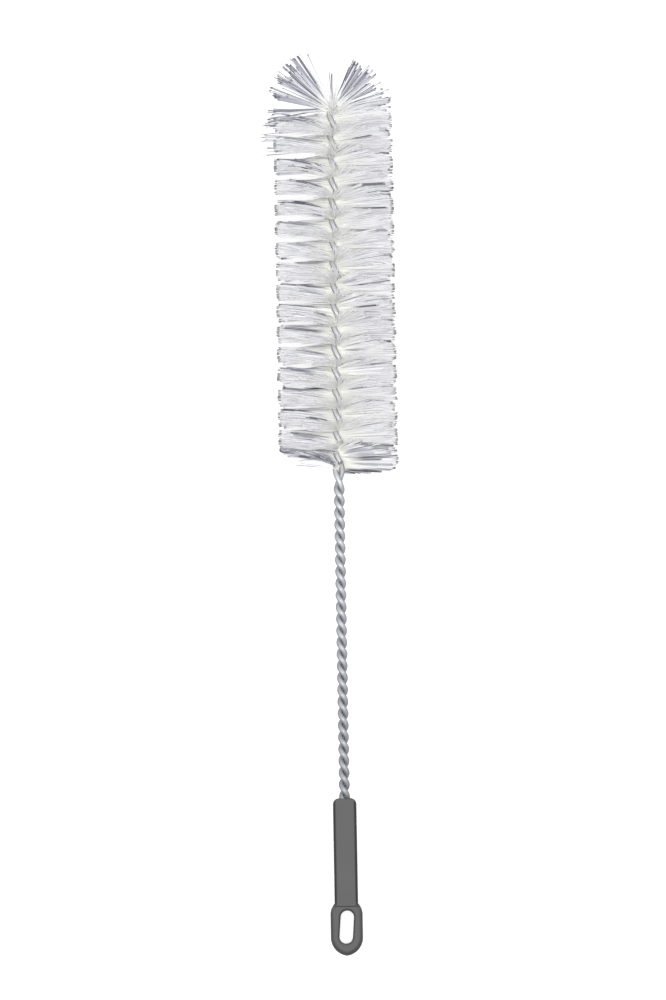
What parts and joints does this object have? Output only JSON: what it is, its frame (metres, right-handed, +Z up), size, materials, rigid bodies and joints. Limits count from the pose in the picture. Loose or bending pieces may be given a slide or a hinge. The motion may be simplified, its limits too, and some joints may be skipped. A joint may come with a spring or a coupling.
{
  "type": "bottle brush",
  "caption": "Twisted-wire bottle brush: a cylindrical head of white filaments on a folded steel wire, with a moulded grip that ends in a hanging eye.",
  "frame": {"origin": "on the surface the brush lies on, under the middle of its length and of its width", "axes": "+Y from the hanging eye to the bristle tip, +Z up from the surface, +X to the right of someone looking along +Y"},
  "size_m": [0.0596, 0.398, 0.0674],
  "materials": {
    "handle_plastic": "moulded mid-grey plastic, satin, fine scuffs",
    "galvanised_wire": "galvanised, bluish grey, semi-bright",
    "filaments": "white nylon filament, slightly translucent"
  },
  "bodies": {
    "root": {"handle": "handle_plastic", "folded_wire": "galvanised_wire", "bristle_row_1": "filaments", "bristle_row_2": "filaments", "bristle_row_3": "filaments", "bristle_row_4": "filaments", "bristle_row_5": "filaments", "bristle_row_6": "filaments", "bristle_row_7": "filaments", "bristle_row_8": "filaments", "bristle_row_9": "filaments", "bristle_row_10": "filaments", "bristle_row_11": "filaments", "bristle_row_12": "filaments", "bristle_row_13": "filaments", "bristle_row_14": "filaments", "bristle_row_15": "filaments", "bristle_row_16": "filaments", "bristle_row_17": "filaments", "tip_tuft": "filaments"}
  },
  "joints": []
}
